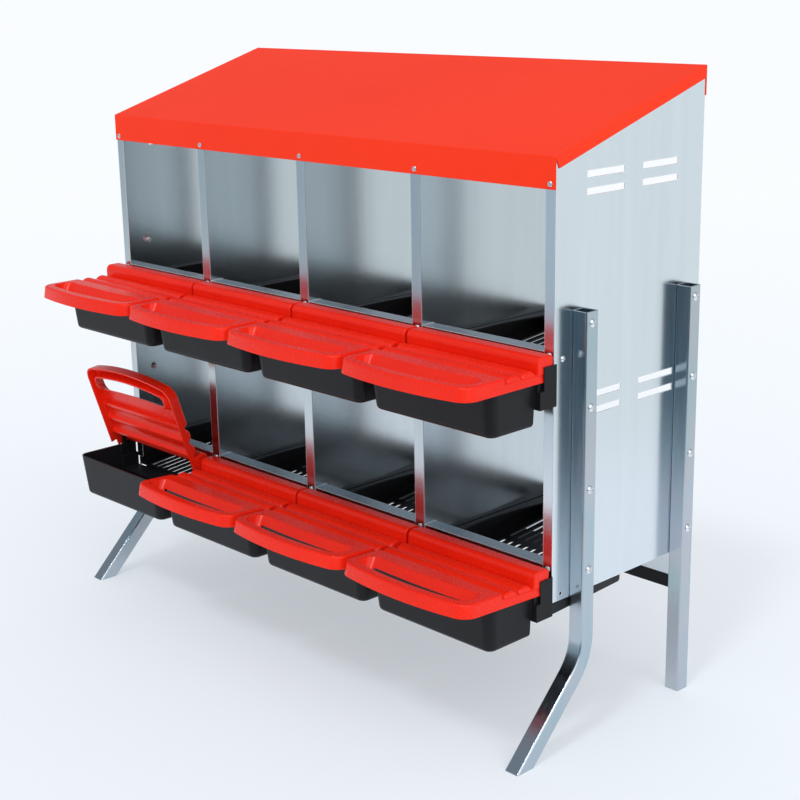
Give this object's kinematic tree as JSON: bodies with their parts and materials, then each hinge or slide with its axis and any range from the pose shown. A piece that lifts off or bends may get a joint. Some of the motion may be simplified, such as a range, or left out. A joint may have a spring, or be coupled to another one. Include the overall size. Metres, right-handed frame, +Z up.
{
  "type": "chicken nesting box",
  "caption": "Free-standing two-tier metal nesting box on tube legs, with a sloped roof and hinged covers over roll-away egg trays in front of each nest.",
  "frame": {"origin": "on the floor, mid-width, halfway between the lids' front edge and the roof's rear edge", "axes": "+X to the right seen from the nest fronts, +Y to the rear, +Z up"},
  "size_m": [1.0566, 0.5078, 0.9343],
  "materials": {
    "galvanised_sheet": "spangled satin zinc coat",
    "zinc_tube": "bright zinc plate with a faint iridescent tint",
    "zinc_fastener": "bright zinc plate",
    "red_paint": "satin coil coat",
    "red_plastic": "semi-gloss moulded",
    "black_plastic": "satin moulded",
    "black_edging": "satin"
  },
  "bodies": {
    "carcass": {"side_panel_left": "galvanised_sheet", "side_panel_right": "galvanised_sheet", "divider_1": "galvanised_sheet", "divider_2": "galvanised_sheet", "divider_3": "galvanised_sheet", "back_panel": "galvanised_sheet", "back_edge_trim": "black_edging", "roof": "red_paint", "sill_upper": "galvanised_sheet", "sill_lower": "galvanised_sheet", "rear_rail_upper": "galvanised_sheet", "rear_rail_lower": "galvanised_sheet", "leg_front_left": "zinc_tube", "leg_front_right": "zinc_tube", "leg_rear_left": "zinc_tube", "leg_rear_right": "zinc_tube", "leg_bolts": "zinc_fastener", "leg_nuts": "zinc_fastener", "roof_screws": "zinc_fastener", "sill_screws": "zinc_fastener", "side_screws": "zinc_fastener", "back_screws": "zinc_fastener", "egg_tray_u1": "black_plastic", "egg_tray_u2": "black_plastic", "egg_tray_u3": "black_plastic", "egg_tray_u4": "black_plastic", "egg_tray_l1": "black_plastic", "egg_tray_l2": "black_plastic", "egg_tray_l3": "black_plastic", "egg_tray_l4": "black_plastic", "nest_floor_u1": "black_plastic", "nest_floor_u2": "black_plastic", "nest_floor_u3": "black_plastic", "nest_floor_u4": "black_plastic", "nest_floor_l1": "black_plastic", "nest_floor_l2": "black_plastic", "nest_floor_l3": "black_plastic", "nest_floor_l4": "black_plastic"},
    "lid_u1": {"lid_u1": "red_plastic"},
    "lid_u2": {"lid_u2": "red_plastic"},
    "lid_u3": {"lid_u3": "red_plastic"},
    "lid_u4": {"lid_u4": "red_plastic"},
    "lid_l1": {"lid_l1": "red_plastic"},
    "lid_l2": {"lid_l2": "red_plastic"},
    "lid_l3": {"lid_l3": "red_plastic"},
    "lid_l4": {"lid_l4": "red_plastic"}
  },
  "joints": [
    {"name": "lid_u1_hinge", "type": "hinge", "parent": "carcass", "child": "lid_u1", "pos_m": [-0.383, -0.0911, 0.5695], "axis": [-1, 0, 0], "range_deg": [0, 90]},
    {"name": "lid_u2_hinge", "type": "hinge", "parent": "carcass", "child": "lid_u2", "pos_m": [-0.129, -0.0911, 0.5695], "axis": [-1, 0, 0], "range_deg": [0, 90]},
    {"name": "lid_u3_hinge", "type": "hinge", "parent": "carcass", "child": "lid_u3", "pos_m": [0.125, -0.0911, 0.5695], "axis": [-1, 0, 0], "range_deg": [0, 90]},
    {"name": "lid_u4_hinge", "type": "hinge", "parent": "carcass", "child": "lid_u4", "pos_m": [0.379, -0.0911, 0.5695], "axis": [-1, 0, 0], "range_deg": [0, 90]},
    {"name": "lid_l1_hinge", "type": "hinge", "parent": "carcass", "child": "lid_l1", "pos_m": [-0.387, -0.0911, 0.2655], "axis": [-1, 0, 0], "range_deg": [-73, 17]},
    {"name": "lid_l2_hinge", "type": "hinge", "parent": "carcass", "child": "lid_l2", "pos_m": [-0.133, -0.0911, 0.2655], "axis": [-1, 0, 0], "range_deg": [-3, 87]},
    {"name": "lid_l3_hinge", "type": "hinge", "parent": "carcass", "child": "lid_l3", "pos_m": [0.121, -0.0911, 0.2655], "axis": [-1, 0, 0], "range_deg": [-3, 87]},
    {"name": "lid_l4_hinge", "type": "hinge", "parent": "carcass", "child": "lid_l4", "pos_m": [0.375, -0.0911, 0.2655], "axis": [-1, 0, 0], "range_deg": [-3, 87]}
  ]
}
